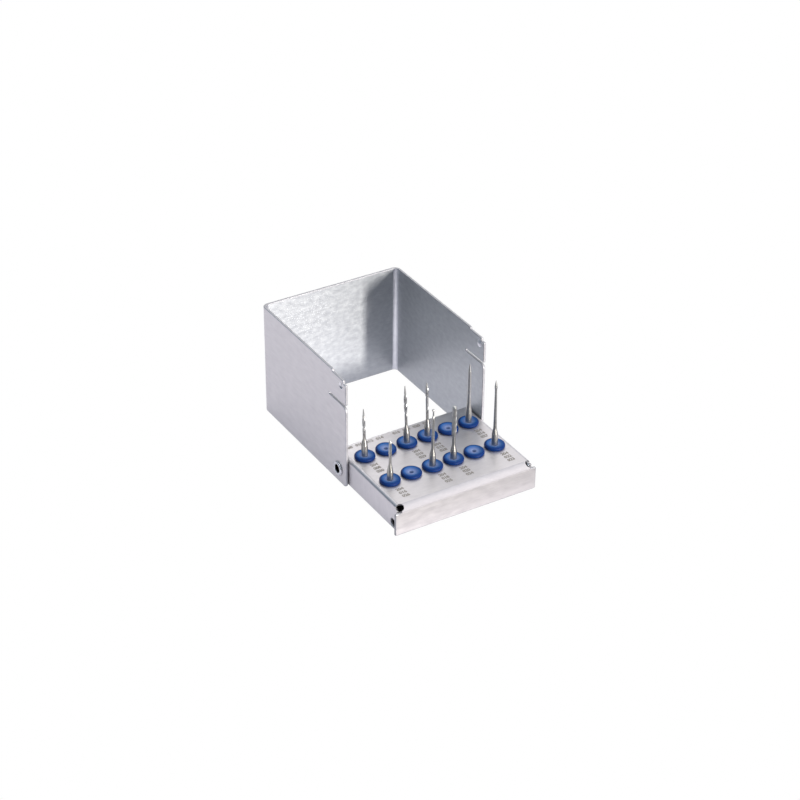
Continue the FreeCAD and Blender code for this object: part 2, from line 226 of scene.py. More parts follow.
@dataclass(frozen=True)
class TumbledRivetSteel:
    """Stainless hollow rivet, rolled over by a punch and tumbled: smooth, with faint turning rings.

    Down the bore the colour is painted near-black: painted shade in the hollow rivet.
    """

    name: str = "tumbled_rivet_steel"
    light: str = "#DADADD"
    dark: str = "#A9A9AE"
    roughness: float = 0.24
    ring_spacing: float = 0.35
    # Painted shade: the near-black colour painted down the bore.
    bore: str = "#1E1F22"
    bore_radius: float = 1.75
    axis: Place = (0.0, -8.6, 5.6)

    def material(self) -> bpy.types.Material:
        """Builds the rivets' finish.

        Returns:
            The material.
        """
        material, shader = blank_material(self.name)
        tree = material.node_tree
        place = add_node(tree, "ShaderNodeTexCoord").outputs["Object"]
        squeezed = add_node(tree, "ShaderNodeMapping", {"Scale": (0.2, 1.0, 1.0)}, {"Vector": place})
        rings = add_node(tree, "ShaderNodeTexNoise", {"Scale": 1 / (self.ring_spacing * MM), "Detail": 1.0},
                         {"Vector": squeezed.outputs["Vector"]})
        tumbled = grey_steps(tree, rings.outputs["Fac"], [(0.3, linear(self.dark)), (0.6, linear(self.light))])
        away = add_node(tree, "ShaderNodeVectorMath", {"operation": "SUBTRACT", 1: [c * MM for c in self.axis]},
                        {0: place})
        round_axis = add_node(tree, "ShaderNodeVectorMath", {"operation": "MULTIPLY", 1: (0.0, 1.0, 1.0)},
                              {0: away.outputs["Vector"]})
        radius = add_node(tree, "ShaderNodeVectorMath", {"operation": "LENGTH"}, {0: round_axis.outputs["Vector"]})
        clear_of_bore_shade = add_node(tree, "ShaderNodeMapRange",
                           {"From Min": (self.bore_radius - 0.1) * MM, "From Max": self.bore_radius * MM},
                           {"Value": radius.outputs["Value"]})
        # Inside the bore radius the colour turns to the painted shade.
        mixed = add_node(tree, "ShaderNodeMix", {"data_type": "RGBA", 6: linear(self.bore)},
                         {0: clear_of_bore_shade.outputs["Result"], 7: tumbled})
        colour = mixed.outputs[2]
        gloss = add_node(tree, "ShaderNodeMapRange", {"To Min": self.roughness - 0.06, "To Max": self.roughness + 0.08},
                         {"Value": rings.outputs["Fac"]})
        tree.links.new(colour, shader.inputs["Base Color"])
        tree.links.new(gloss.outputs["Result"], shader.inputs["Roughness"])
        shader.inputs["Metallic"].default_value = 1.0
        return material


@dataclass(frozen=True)
class GroundToolSteel:
    """Hardened tool steel, ground on centres: a bright satin shank and a darker cutting head.

    The grinding rings run round the shank. They are a few hundredths of a millimetre wide
    on the real tool and are drawn 0.25 mm apart.
    """

    name: str = "ground_tool_steel"
    shank: str = "#B8B6B1"
    cutting: str = "#C6C6C4"
    head_from: float = 21.0
    head_to: float = 24.0
    roughness: float = 0.32
    ring_spacing: float = 0.25

    def material(self) -> bpy.types.Material:
        """Builds the burs' finish along their height.

        Returns:
            The material.
        """
        material, shader = blank_material(self.name)
        tree = material.node_tree
        place = add_node(tree, "ShaderNodeTexCoord").outputs["Object"]
        flattened = add_node(tree, "ShaderNodeMapping", {"Scale": (0.1, 0.1, 1.0)}, {"Vector": place})
        rings = add_node(tree, "ShaderNodeTexNoise", {"Scale": 1 / (self.ring_spacing * MM), "Detail": 1.0},
                         {"Vector": flattened.outputs["Vector"]})
        height = add_node(tree, "ShaderNodeSeparateXYZ", links={"Vector": place}).outputs["Z"]
        zone = add_node(tree, "ShaderNodeMapRange", {"From Min": self.head_from * MM, "From Max": self.head_to * MM},
                        {"Value": height})
        colour = grey_steps(tree, zone.outputs["Result"], [(0.0, linear(self.shank)), (1.0, linear(self.cutting))])
        ringed = add_node(tree, "ShaderNodeMix", {"data_type": "RGBA", "blend_type": "MULTIPLY", 0: 0.35},
                          {6: colour, 7: rings.outputs["Fac"]})
        gloss = add_node(tree, "ShaderNodeMapRange", {"To Min": self.roughness - 0.05, "To Max": self.roughness + 0.1},
                         {"Value": rings.outputs["Fac"]})
        tree.links.new(ringed.outputs[2], shader.inputs["Base Color"])
        tree.links.new(gloss.outputs["Result"], shader.inputs["Roughness"])
        shader.inputs["Metallic"].default_value = 1.0
        return material


@dataclass(frozen=True)
class MouldedSilicone:
    """Medical silicone rubber, moulded and flashed off: deep blue, satin, a little translucent.

    The colour is painted by radius: a dark rim that is painted shade, and a paler dish that is a painted highlight.
    """

    name: str = "moulded_blue_silicone"
    # Painted light and shade by radius: pale dish for the highlight, dark rim for the shade.
    zones: tuple[tuple[float, str], ...] = (
        (0.32, "#7A8AB2"), (0.52, "#586EA0"), (0.7, "#285690"), (0.83, "#0A3E7C"), (0.93, "#00265F"))
    roughness: float = 0.5
    speck_size: float = 0.5

    def material(self) -> bpy.types.Material:
        """Builds the silicone's finish on the grommet's own section map.

        Returns:
            The material.
        """
        material, shader = blank_material(self.name)
        tree = material.node_tree
        section = add_node(tree, "ShaderNodeUVMap", {"uv_map": "section"}).outputs["UV"]
        radius = add_node(tree, "ShaderNodeSeparateXYZ", links={"Vector": section}).outputs["X"]
        place = add_node(tree, "ShaderNodeTexCoord").outputs["Object"]
        specks = add_node(tree, "ShaderNodeTexNoise", {"Scale": 1 / (self.speck_size * MM), "Detail": 2.0},
                          {"Vector": place})
        blur = add_node(tree, "ShaderNodeMath", {"operation": "MULTIPLY_ADD", 1: 0.08},
                        {0: specks.outputs["Fac"], 2: radius})
        # The colour follows the radius: painted highlight in the pale dish, painted shade at the dark rim.
        colour = grey_steps(tree, blur.outputs["Value"], [(share, linear(shade)) for share, shade in self.zones])
        gloss = add_node(tree, "ShaderNodeMapRange", {"To Min": self.roughness - 0.06, "To Max": self.roughness + 0.1},
                         {"Value": specks.outputs["Fac"]})
        bump = add_node(tree, "ShaderNodeBump", {"Strength": 0.3, "Distance": 0.02 * MM},
                        {"Height": specks.outputs["Fac"]})
        tree.links.new(colour, shader.inputs["Base Color"])
        tree.links.new(gloss.outputs["Result"], shader.inputs["Roughness"])
        tree.links.new(bump.outputs["Normal"], shader.inputs["Normal"])
        shader.inputs["IOR"].default_value = 1.41
        shader.inputs["Specular IOR Level"].default_value = 0.2
        shader.inputs["Subsurface Weight"].default_value = 0.15
        shader.inputs["Subsurface Radius"].default_value = (0.25, 0.45, 1.0)
        shader.inputs["Subsurface Scale"].default_value = 0.6 * MM
        return material


@dataclass(frozen=True)
class LaserMark:
    """Laser-annealed mark on stainless steel: a thin brown-grey oxide, matt beside the brushed face."""

    name: str = "laser_annealed_mark"
    dark: str = "#7C7671"
    light: str = "#99948F"
    dot_size: float = 0.3

    def material(self) -> bpy.types.Material:
        """Builds the mark's finish, uneven from one laser dot to the next.

        Returns:
            The material.
        """
        material, shader = blank_material(self.name)
        tree = material.node_tree
        place = add_node(tree, "ShaderNodeTexCoord").outputs["Object"]
        dots = add_node(tree, "ShaderNodeTexNoise", {"Scale": 1 / (self.dot_size * MM), "Detail": 1.0},
                        {"Vector": place})
        colour = grey_steps(tree, dots.outputs["Fac"], [(0.35, linear(self.dark)), (0.65, linear(self.light))])
        tree.links.new(colour, shader.inputs["Base Color"])
        shader.inputs["Roughness"].default_value = 0.55
        shader.inputs["Metallic"].default_value = 0.4
        return material


def unfolded(run: float, drop: float, start: float, bend: float) -> tuple[float, float]:
    """Follows a sheet from its flat part round a right-angled bend.

    Args:
        run: Distance along the flat part from its middle, towards the bend.
        drop: Distance from the flat part's outer face, across the sheet.
        start: Where the bend starts along the flat part.
        bend: Outer radius of the bend.

    Returns:
        Distance along the unfolded sheet, and depth below its outer face.
    """
    beyond = run - start
    if beyond <= 0:
        return run, drop
    below = drop - bend
    if below <= 0:
        angle = math.atan2(beyond, -below)
        return start + bend * angle, bend - math.hypot(beyond, below)
    return start + bend * math.pi / 2 + below, bend - beyond


class Face(Enum):
    """What a face of a folded sheet is; the value is its material slot."""

    OUTSIDE = 0
    CUT = 1
    CORNER = 2
    INSIDE = 3
    PIT = 4
    OUTER_BEND = 5
    INNER_BEND = 6


@dataclass
class FoldedSheet:
    """A folded steel sheet: a finished copy of its CAD node, with softened edges and a grain map.

    The shear rolls the outer corners over and leaves the inner ones crisp, so these look like the cut.
    """

    node: str
    body: str
    slot: str
    finishes: dict[Face, BrushedSteel | DeburredEdge]
    edge_width: float = 0.28
    edge_angle: float = 50.0
    crowded: tuple[Place, ...] = ()
    crowded_reach: float = 2.6
    depth_slant: float = 0.7
    cut_depth: float = 0.5
    inside_depth: float = 0.9
    pit_depth: float = 0.02
    flatness: float = 0.9995
    flat_area: float = 100.0

    def unfold(self, x: float, y: float, z: float) -> Place:
        """Gives a point's place on the unfolded sheet: along the grain, across it, and its depth, in millimetres."""
        raise NotImplementedError

    def merged_copy(self) -> bpy.types.Object:
        """Copies the CAD node's triangles, merged into whole faces.

        Returns:
            The new object.
        """
        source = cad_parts[self.node].data
        mesh = bpy.data.meshes.new(self.node + "_sheet")
        mesh.from_pydata([v.co[:] for v in source.vertices], [], [p.vertices[:] for p in source.polygons])
        shell = bmesh.new()
        shell.from_mesh(mesh)
        bmesh.ops.remove_doubles(shell, verts=shell.verts, dist=0.001 * MM)
        bmesh.ops.dissolve_limit(shell, angle_limit=math.radians(0.4), verts=shell.verts, edges=shell.edges)
        shell.to_mesh(mesh)
        shell.free()
        piece = bpy.data.objects.new(self.node + "_sheet", mesh)
        bpy.context.scene.collection.objects.link(piece)
        return piece

    def soften_edges(self, piece: bpy.types.Object) -> None:
        """Rounds the sheared edges, gives them their own finish, and keeps the flat faces flat.

        Args:
            piece: The merged copy, whose mesh is replaced.
        """
        piece.data.shade_smooth()
        self.weigh_edges(piece.data)
        bevel = piece.modifiers.new("softened_edges", "BEVEL")
        bevel.width = self.edge_width * MM
        bevel.segments = 3
        bevel.limit_method = "WEIGHT"
        bevel.material = Face.CORNER.value
        bevel.use_clamp_overlap = False
        bevel.loop_slide = False
        weighted = piece.modifiers.new("flat_faces", "WEIGHTED_NORMAL")
        weighted.keep_sharp = True
        weighted.weight = 80
        evaluated = piece.evaluated_get(bpy.context.evaluated_depsgraph_get())
        piece.data = bpy.data.meshes.new_from_object(evaluated)
        piece.modifiers.clear()
        self.flatten_normals(piece.data)

    def flatten_normals(self, mesh: bpy.types.Mesh) -> None:
        """Makes the large flat faces shade flat right up to their corners.

        Args:
            mesh: The finished mesh.
        """
        normals = [corner.vector.copy() for corner in mesh.corner_normals]
        for face in mesh.polygons:
            if face.area > self.flat_area * MM * MM:
                for loop in face.loop_indices:
                    normals[loop] = face.normal.copy()
        mesh.normals_split_custom_set(normals)

    def weigh_edges(self, mesh: bpy.types.Mesh) -> None:
        """Marks the edges that get rounded: the sharp ones, which stay sharp only where others crowd them.

        Args:
            mesh: The merged copy's mesh.
        """
        shell = bmesh.new()
        shell.from_mesh(mesh)
        weight = shell.edges.layers.float.new("bevel_weight_edge")
        places = [Vector(place) * MM for place in self.crowded]
        for edge in shell.edges:
            sharp = len(edge.link_faces) == 2 and edge.calc_face_angle() > math.radians(self.edge_angle)
            near = any((v.co - place).length < self.crowded_reach * MM for v in edge.verts for place in places)
            edge[weight] = float(sharp and not near)
            edge.smooth = not (sharp and near)
        shell.to_mesh(mesh)
        shell.free()

    def map_grain(self, piece: bpy.types.Object) -> None:
        """Writes the grain map, in metres on the unfolded sheet, and gives each face its finish.

        Args:
            piece: The finished copy.
        """
        mesh = piece.data
        layer = mesh.uv_layers.new(name="grain")
        places = [self.unfold(*(c / MM for c in v.co)) for v in mesh.vertices]
        for loop in mesh.loops:
            along, across, depth = places[loop.vertex_index]
            layer.data[loop.index].uv = ((along + depth) * MM, (across + self.depth_slant * depth) * MM)
        for face in mesh.polygons:
            depths = [places[i][2] for i in face.vertices]
            face.material_index = self.kind(face, min(depths), max(depths)).value

    def kind(self, face: bpy.types.MeshPolygon, top: float, bottom: float) -> Face:
        """Tells what a face is.

        Args:
            face: The face, which the bevel has marked where it is a softened corner.
            top: The least depth of its corners, in millimetres.
            bottom: The greatest depth of its corners.

        Returns:
            The kind of face.
        """
        bent = max(abs(part) for part in face.normal) < self.flatness
        if face.material_index == Face.CORNER.value:
            return Face.CORNER if bottom < self.cut_depth else Face.CUT
        if top < self.cut_depth < bottom:
            return Face.CUT
        if top > self.inside_depth:
            return Face.INNER_BEND if bent else Face.INSIDE
        if bottom > self.pit_depth:
            return Face.PIT
        return Face.OUTER_BEND if bent else Face.OUTSIDE

    def build(self) -> bpy.types.Object:
        """Makes, dresses and mounts the sheet.

        Returns:
            The finished piece.
        """
        piece = self.merged_copy()
        for face in Face:
            piece.data.materials.append(self.finishes[face].material())
        self.soften_edges(piece)
        self.map_grain(piece)
        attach(piece, self.body)
        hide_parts(self.node)
        return piece


@dataclass
class Cover(FoldedSheet):
    """The U-shaped cover, brushed along its walls."""

    back: float = 49.4
    half_width: float = 30.0
    bend: float = 2.5

    def unfold(self, x: float, y: float, z: float) -> Place:
        """Gives the place of a point on the unfolded cover.

        Args:
            x: Across the block.
            y: From front to back.
            z: Upwards.

        Returns:
            Along the walls, up them, and into the sheet.
        """
        side = 1.0 if x >= 0 else -1.0
        along, depth = unfolded(abs(x), self.back - y, self.half_width - self.bend, self.bend)
        return side * along, z, depth


@dataclass
class Tray(FoldedSheet):
    """The tray, brushed across its plate and along its front lip."""

    top: float = 11.6
    front: float = -49.4
    sheet: float = 1.0
    crowded: tuple[Place, ...] = ((-27.3, -47.95, 10.6), (27.3, -47.95, 10.6))
    flange_outside: float = 28.8
    side_bend: float = 1.5
    front_bend: float = 2.4

    def unfold(self, x: float, y: float, z: float) -> Place:
        """Gives the place of a point on the unfolded tray.

        Args:
            x: Across the block.
            y: From front to back.
            z: Upwards.

        Returns:
            Across the plate and down the flanges, along the plate and down the lip, and into the sheet.
        """
        side = 1.0 if x >= 0 else -1.0
        plate_half = self.flange_outside - self.side_bend
        on_lip = y < self.front + 1.15 * self.sheet or (y < self.front + self.front_bend and abs(x) < plate_half)
        if on_lip:
            down, depth = unfolded(-y, self.top - z, -self.front - self.front_bend, self.front_bend)
            return x, -down, depth
        along, depth = unfolded(abs(x), self.top - z, plate_half, self.side_bend)
        return side * along, y, depth

    def kind(self, face: bpy.types.MeshPolygon, top: float, bottom: float) -> Face:
        """Tells what a face is: the side bends were folded before brushing, so they look like the plate.

        Args:
            face: The face.
            top: The least depth of its corners, in millimetres.
            bottom: The greatest depth of its corners.

        Returns:
            The kind of face.
        """
        found = super().kind(face, top, bottom)
        return Face.OUTSIDE if found is Face.OUTER_BEND and abs(face.normal.x) > 0.1 else found


class Socket(Enum):
    """Whether a socket holds a bur."""

    FILLED = "filled"
    FREE = "free"


@dataclass
class SocketGrommets:
    """The silicone grommets, turned from one section and set out in two rows by a node tree."""

    finish: MouldedSilicone
    body: str = "tray"
    slot: str = "silicone"
    columns: int = 6
    pitch: float = 9.0
    back_row: float = -15.1
    front_row: float = -33.0
    plate_top: float = 11.6
    shank: float = 1.08
    free_bore: float = 0.8
    section: tuple[Point, ...] = (
        (1.35, 0.92), (1.7, 0.96), (2.1, 1.06), (2.5, 1.22), (2.8, 1.32), (3.1, 1.35), (3.35, 1.32), (3.6, 1.22),
        (3.78, 1.07), (3.89, 0.88), (3.93, 0.68), (3.91, 0.48), (3.82, 0.24), (3.72, 0.05), (3.6, 0.0), (3.0, 0.0),
        (3.0, -1.0), (3.44, -1.02), (3.5, -1.1), (3.42, -1.3), (2.72, -2.5), (2.58, -2.66), (2.4, -2.7))
    turns: int = 64
    filled: dict[str, tuple[int, ...]] = field(
        default_factory=lambda: {"back": (1, 3, 4, 6), "front": (1, 3, 4, 6)})

    def sockets(self, state: Socket) -> list[tuple[str, int]]:
        """Lists the sockets in one state, as row and column."""
        return [(row, column) for row in ("back", "front") for column in range(1, self.columns + 1)
                if (column in self.filled[row]) == (state is Socket.FILLED)]

    def outline(self, bore: float) -> bpy.types.Object:
        """Makes the closed half section as a ring of edges.

        Args:
            bore: Radius of the hole down the middle.

        Returns:
            An object whose mesh holds the section, radius along X and height along -Y.
        """
        points = [(bore, 0.8), (bore + 0.08, 0.88)] + list(self.section) + [(bore + 0.15, -2.7), (bore, -2.6)]
        mesh = bpy.data.meshes.new("grommet_section")
        ring = [(i, (i + 1) % len(points)) for i in range(len(points))]
        mesh.from_pydata([(r * MM, -z * MM, 0.0) for r, z in points], ring, [])
        outline = bpy.data.objects.new("grommet_section", mesh)
        bpy.context.scene.collection.objects.link(outline)
        return outline

    def tree(self, material: bpy.types.Material) -> bpy.types.NodeTree:
        """Builds the node tree that turns the section and sets it out.

        Args:
            material: The silicone.

        Returns:
            The tree, with its sizes as named inputs.
        """
        tree = bpy.data.node_groups.new("grommet_rows", "GeometryNodeTree")
        tree.interface.new_socket("Geometry", in_out="OUTPUT", socket_type="NodeSocketGeometry")
        tree.interface.new_socket("Section", in_out="INPUT", socket_type="NodeSocketGeometry")
        for name, kind in (("Columns", "NodeSocketInt"), ("Pitch", "NodeSocketFloat"),
                           ("Row Spacing", "NodeSocketFloat"), ("Middle", "NodeSocketVector"),
                           ("Turns", "NodeSocketInt"), ("Head Radius", "NodeSocketFloat"),
                           ("Socket Mask", "NodeSocketInt")):
            tree.interface.new_socket(name, in_out="INPUT", socket_type=kind)
        given = add_node(tree, "NodeGroupInput").outputs
        profile = add_node(tree, "GeometryNodeMeshToCurve", links={"Mesh": given["Section"]})
        axis = add_node(tree, "GeometryNodeCurvePrimitiveCircle", {"Radius": 1e-7},
                        {"Resolution": given["Turns"]})
        turned = add_node(tree, "GeometryNodeCurveToMesh",
                          links={"Curve": axis.outputs["Curve"], "Profile Curve": profile.outputs["Curve"]})
        place = add_node(tree, "GeometryNodeInputPosition")
        parts = add_node(tree, "ShaderNodeSeparateXYZ", links={"Vector": place.outputs["Position"]})
        flat = add_node(tree, "ShaderNodeCombineXYZ", links={"X": parts.outputs["X"], "Y": parts.outputs["Y"]})
        radius = add_node(tree, "ShaderNodeVectorMath", {"operation": "LENGTH"}, {0: flat.outputs["Vector"]})
        share = add_node(tree, "ShaderNodeMath", {"operation": "DIVIDE"},
                         {0: radius.outputs["Value"], 1: given["Head Radius"]})
        section = add_node(tree, "ShaderNodeCombineXYZ", links={"X": share.outputs["Value"], "Y": parts.outputs["Z"]})
        mapped = add_node(tree, "GeometryNodeStoreNamedAttribute",
                          {"data_type": "FLOAT2", "domain": "CORNER", "Name": "section"},
                          {"Geometry": turned.outputs["Mesh"], "Value": section.outputs["Vector"]})
        smooth = add_node(tree, "GeometryNodeSetShadeSmooth", links={"Geometry": mapped.outputs["Geometry"]})
        last_column = add_node(tree, "ShaderNodeMath", {"operation": "SUBTRACT", 1: 1.0}, {0: given["Columns"]})
        width = add_node(tree, "ShaderNodeMath", {"operation": "MULTIPLY"},
                         {0: last_column.outputs["Value"], 1: given["Pitch"]})
        grid = add_node(tree, "GeometryNodeMeshGrid", {"Vertices Y": 2},
                        {"Size X": width.outputs["Value"], "Size Y": given["Row Spacing"],
                         "Vertices X": given["Columns"]})
        moved = add_node(tree, "GeometryNodeSetPosition",
                         links={"Geometry": grid.outputs["Mesh"], "Offset": given["Middle"]})
        index = add_node(tree, "GeometryNodeInputIndex")
        bit = add_node(tree, "ShaderNodeMath", {"operation": "POWER", 0: 2.0}, {1: index.outputs["Index"]})
        shifted = add_node(tree, "ShaderNodeMath", {"operation": "DIVIDE"},
                           {0: given["Socket Mask"], 1: bit.outputs["Value"]})
        whole = add_node(tree, "ShaderNodeMath", {"operation": "FLOOR"}, {0: shifted.outputs["Value"]})
        chosen = add_node(tree, "ShaderNodeMath", {"operation": "MODULO", 1: 2.0}, {0: whole.outputs["Value"]})
        spread = add_node(tree, "GeometryNodeInstanceOnPoints",
                          links={"Points": moved.outputs["Geometry"], "Instance": smooth.outputs["Geometry"],
                                 "Selection": chosen.outputs["Value"]})
        real = add_node(tree, "GeometryNodeRealizeInstances", links={"Geometry": spread.outputs["Instances"]})
        dressed = add_node(tree, "GeometryNodeSetMaterial", {"Material": material},
                           {"Geometry": real.outputs["Geometry"]})
        add_node(tree, "NodeGroupOutput", links={"Geometry": dressed.outputs["Geometry"]})
        return tree

    def build(self) -> list[bpy.types.Object]:
        """Makes the filled and the free grommets.

        Returns:
            One piece for each state.
        """
        tree = self.tree(self.finish.material())
        return [self.build_state(state, tree) for state in Socket]

    def build_state(self, state: Socket, tree: bpy.types.NodeTree) -> bpy.types.Object:
        """Makes all the grommets in one state as one piece.

        Args:
            state: Filled or free.
            tree: The node tree.

        Returns:
            The finished piece.
        """
        sockets = self.sockets(state)
        rows = {"front": 0, "back": 1}
        mask = sum(2 ** ((column - 1) * 2 + rows[row]) for row, column in sockets)
        outline = self.outline(self.shank if state is Socket.FILLED else self.free_bore)
        modifier = outline.modifiers.new("grommet_rows", "NODES")
        modifier.node_group = tree
        values = {
            "Columns": self.columns, "Pitch": self.pitch * MM, "Row Spacing": (self.back_row - self.front_row) * MM,
            "Middle": (0.0, (self.back_row + self.front_row) / 2 * MM, self.plate_top * MM),
            "Turns": self.turns, "Head Radius": max(r for r, z in self.section) * MM, "Socket Mask": mask}
        for item in tree.interface.items_tree:
            if item.in_out == "INPUT" and item.name in values:
                modifier[item.identifier] = values[item.name]
        evaluated = outline.evaluated_get(bpy.context.evaluated_depsgraph_get())
        mesh = bpy.data.meshes.new_from_object(evaluated)
        bpy.data.objects.remove(outline)
        shell = bmesh.new()
        shell.from_mesh(mesh)
        bmesh.ops.recalc_face_normals(shell, faces=shell.faces)
        shell.to_mesh(mesh)
        shell.free()
        piece = bpy.data.objects.new("grommets_" + state.value, mesh)
        bpy.context.scene.collection.objects.link(piece)
        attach(piece, self.body)
        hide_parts(*("grommet_" + row + "_" + str(column) for row, column in sockets))
        return piece


@dataclass
class Burs:
    """The eight burs, which keep their CAD shape."""

    finish: GroundToolSteel

    def build(self) -> list[bpy.types.Object]:
        """Dresses the burs.

        Returns:
            The dressed nodes.
        """
        material = self.finish.material()
        burs = [node for name, node in sorted(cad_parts.items()) if name.startswith("bur_")]
        for bur in burs:
            bur.data.materials.clear()
            bur.data.materials.append(material)
        return burs


@dataclass
class HingeRivets:
    """The two hollow rivets of the hinge, which keep their CAD shape."""

    finish: TumbledRivetSteel

    def build(self) -> list[bpy.types.Object]:
        """Dresses the rivets.

        Returns:
            The dressed nodes.
        """
        material = self.finish.material()
        rivets = [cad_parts["hinge_rivet_" + side] for side in ("left", "right")]
        for rivet in rivets:
            rivet.data.materials.clear()
            rivet.data.materials.append(material)
        return rivets


@dataclass
class PlateNumbers:
    """Plain numbers on the plate: head sizes along its back edge, and three lines in front of each bur."""

    finish: LaserMark
    sockets: SocketGrommets
    height: float = 11.63
    letter_size: float = 2.0
    boldness: float = 0.1
    edge_line: float = -7.5
    edge_sizes: tuple[float, ...] = (-26.0, -21.6, -17.2, -12.8, -5.6, -1.2, 3.2, 7.6)
    line_pitch: float = 2.2
    beside: float = -1.1
    ahead: float = 6.7
    body: str = "tray"
    slot: str = "tray_sheet"

    def entries(self) -> list[tuple[str, float, float]]:
        """Lists the numbers.

        Returns:
            Text, and the place of its left end across and along the plate.
        """
        found = [(f"{8 + 2 * number:03d}", x, self.edge_line) for number, x in enumerate(self.edge_sizes)]
        middle = (self.sockets.columns + 1) / 2
        rows = {"back": self.sockets.back_row, "front": self.sockets.front_row}
        for number, (row, column) in enumerate(self.sockets.sockets(Socket.FILLED)):
            x = (column - middle) * self.sockets.pitch + self.beside
            for line, text in enumerate(("204", f"{8 + 2 * number:03d}", f"{30 - number:03d}")):
                found.append((text, x, rows[row] - self.ahead - line * self.line_pitch))
        return found

    def build(self) -> bpy.types.Object:
        """Makes all the numbers as one thin piece on the plate.

        Returns:
            The finished piece.
        """
        joined = bmesh.new()
        for text, x, y in self.entries():
            curve = bpy.data.curves.new("number", "FONT")
            curve.body = text
            curve.size = self.letter_size * MM
            curve.resolution_u = 3
            curve.offset = self.boldness * MM
            letters = bpy.data.objects.new("number", curve)
            bpy.context.scene.collection.objects.link(letters)
            evaluated = letters.evaluated_get(bpy.context.evaluated_depsgraph_get())
            mesh = bpy.data.meshes.new_from_object(evaluated)
            mesh.transform(Matrix.Translation((x * MM, y * MM, self.height * MM)))
            joined.from_mesh(mesh)
            bpy.data.objects.remove(letters)
        bmesh.ops.remove_doubles(joined, verts=joined.verts, dist=0.002 * MM)
        bmesh.ops.dissolve_degenerate(joined, edges=joined.edges, dist=0.002 * MM)
        mesh = bpy.data.meshes.new("plate_numbers")
        joined.to_mesh(mesh)
        joined.free()
        mesh.materials.append(self.finish.material())
        piece = bpy.data.objects.new("plate_numbers", mesh)
        bpy.context.scene.collection.objects.link(piece)
        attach(piece, self.body)
        return piece


@dataclass
class PhotographCamera:
    """The camera, as the photograph's perspective gives it."""

    azimuth: float = -31.4516
    elevation: float = 32.3342
    roll: float = 0.5118
    distance: float = 823.79
    target: Place = (10.1666, 14.0275, 10.0)
    lens: float = 96.84

    def build(self) -> bpy.types.Object:
        """Sets the camera at the photograph's viewing angle.

        Returns:
            The camera.
        """
        data = bpy.data.cameras.new("photograph")
        data.lens = self.lens
        data.sensor_width = 36.0
        data.clip_start, data.clip_end = 0.01, 50.0
        camera = bpy.data.objects.new("photograph", data)
        around, above = math.radians(self.azimuth), math.radians(self.elevation)
        back = Vector((math.sin(around) * math.cos(above), -math.cos(around) * math.cos(above), math.sin(above)))
        camera.location = Vector(self.target) * MM + back * self.distance * MM
        camera.rotation_mode = "QUATERNION"
        level = (-back).to_track_quat("-Z", "Y")
        camera.rotation_quaternion = level @ Matrix.Rotation(math.radians(self.roll), 4, "Z").to_quaternion()
        bpy.context.scene.collection.objects.link(camera)
        bpy.context.scene.camera = camera
        return camera


